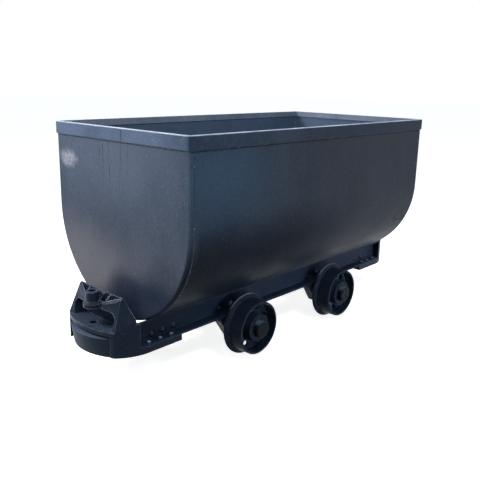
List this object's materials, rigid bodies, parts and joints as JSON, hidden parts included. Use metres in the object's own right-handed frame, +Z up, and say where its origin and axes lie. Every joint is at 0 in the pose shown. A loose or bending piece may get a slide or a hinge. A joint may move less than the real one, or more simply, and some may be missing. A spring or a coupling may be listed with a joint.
{
  "type": "fixed-tub mine car",
  "caption": "Narrow-gauge mine car: open U-shaped steel tub fixed on a channel frame with cast bumpers, rubber buffers and two flanged wheelsets.",
  "frame": {"origin": "on the floor under the middle of the car, which stands on its wheel flanges", "axes": "+X along the track towards the rear end, +Y to the right side, +Z up"},
  "size_m": [2.514, 1.054, 1.2451],
  "materials": {
    "tub_enamel": "satin blue-black enamel with dust and runs",
    "rim_enamel": "satin blue-black enamel, worn lighter on the edges",
    "frame_enamel": "satin black enamel",
    "casting_enamel": "glossy black enamel over rough cast steel",
    "wheel_enamel": "glossy black enamel over cast steel",
    "axle_steel": "black enamel, dull",
    "buffer_rubber": "smooth moulded rubber"
  },
  "bodies": {
    "chassis": {"axle_seat_front_left": "casting_enamel", "axle_seat_front_right": "casting_enamel", "axle_seat_rear_left": "casting_enamel", "axle_seat_rear_right": "casting_enamel", "buffer_front": "buffer_rubber", "buffer_rear": "buffer_rubber", "bumper_front": "casting_enamel", "bumper_rear": "casting_enamel", "end_plate_front": "tub_enamel", "end_plate_rear": "tub_enamel", "rim_band_left": "rim_enamel", "rim_band_right": "rim_enamel", "rim_liner_left": "rim_enamel", "rim_liner_right": "rim_enamel", "saddle_front": "frame_enamel", "saddle_middle": "frame_enamel", "saddle_rear": "frame_enamel", "seat_cap_front_left": "casting_enamel", "seat_cap_front_right": "casting_enamel", "seat_cap_rear_left": "casting_enamel", "seat_cap_rear_right": "casting_enamel", "sill_left": "frame_enamel", "sill_right": "frame_enamel", "tub_wrapper": "tub_enamel"},
    "wheelset_front": {"axle_front": "axle_steel", "hub_cap_front_left": "wheel_enamel", "hub_cap_front_right": "wheel_enamel", "wheel_front_left": "wheel_enamel", "wheel_front_right": "wheel_enamel"},
    "wheelset_rear": {"axle_rear": "axle_steel", "hub_cap_rear_left": "wheel_enamel", "hub_cap_rear_right": "wheel_enamel", "wheel_rear_left": "wheel_enamel", "wheel_rear_right": "wheel_enamel"}
  },
  "joints": [
    {"name": "wheelset_front_spin", "type": "hinge", "parent": "chassis", "child": "wheelset_front", "pos_m": [-0.395, 0, 0.17], "axis": [0, 1, 0], "continuous": true},
    {"name": "wheelset_rear_spin", "type": "hinge", "parent": "chassis", "child": "wheelset_rear", "pos_m": [0.395, 0, 0.17], "axis": [0, 1, 0], "continuous": true}
  ]
}
